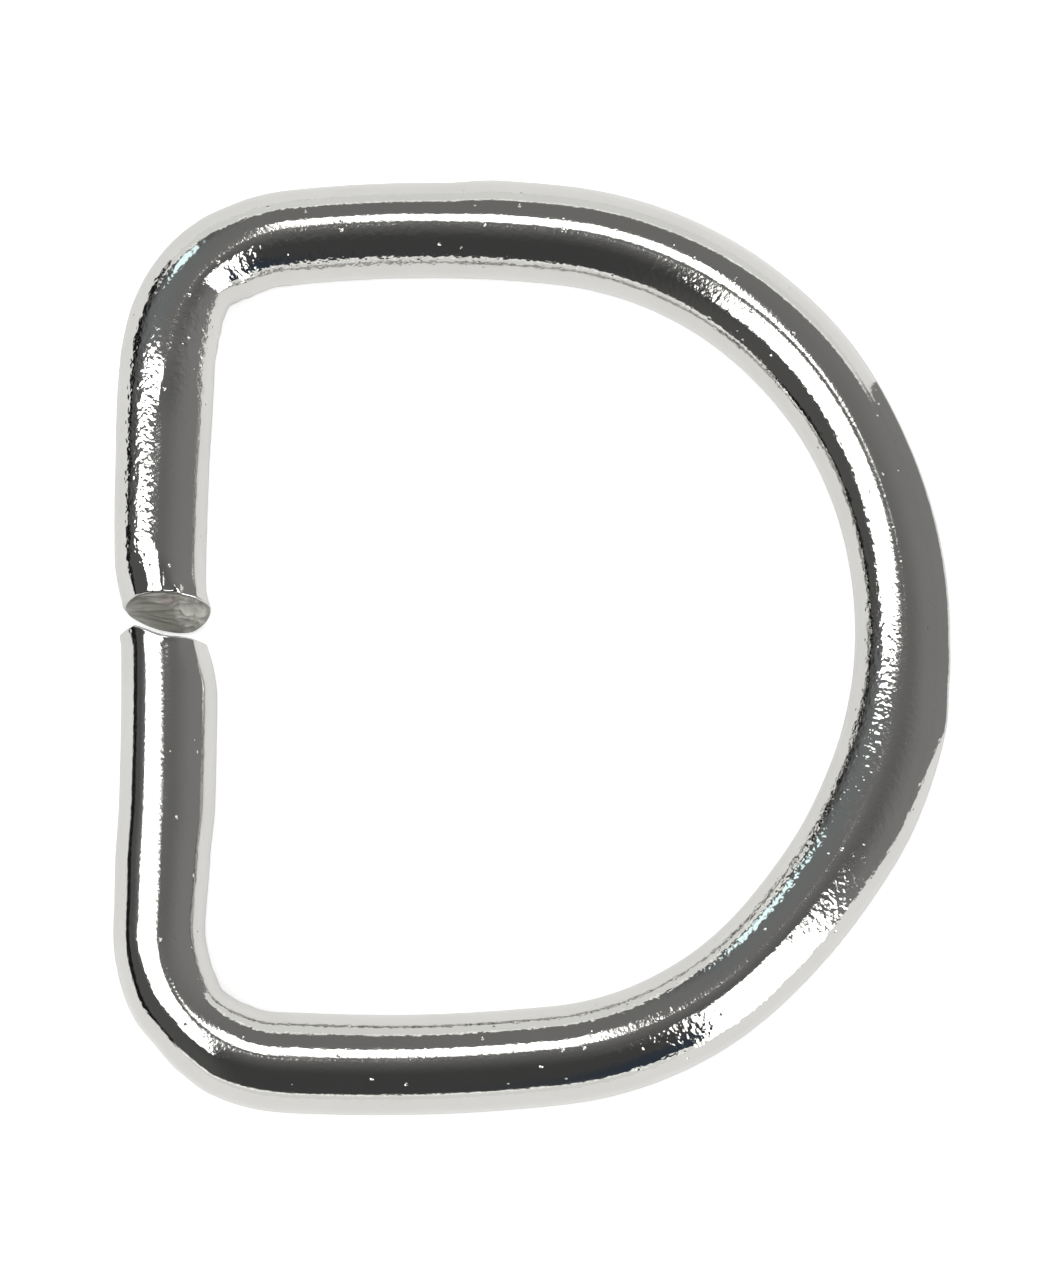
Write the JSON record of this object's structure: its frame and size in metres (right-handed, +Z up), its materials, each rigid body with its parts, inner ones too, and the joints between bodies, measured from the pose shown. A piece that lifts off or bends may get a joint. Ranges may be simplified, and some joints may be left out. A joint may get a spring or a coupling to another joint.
{
  "type": "d ring",
  "caption": "D-shaped ring bent from round steel wire, bright nickel plated, with a straight bar for webbing and an unwelded butt joint in the bar.",
  "frame": {"origin": "on the surface that the ring lies on, under the middle of its outline", "axes": "+Y along the bar towards the upper arm, +X from the bar towards the crown of the bow, +Z up through the thickness of the wire"},
  "size_m": [0.0288, 0.0322, 0.0034],
  "materials": {
    "nickel_plate": "bright nickel plate over steel, with fine pits; the two sheared ends are dull bare steel"
  },
  "bodies": {
    "root": {"ring_wire": "nickel_plate"}
  },
  "joints": []
}
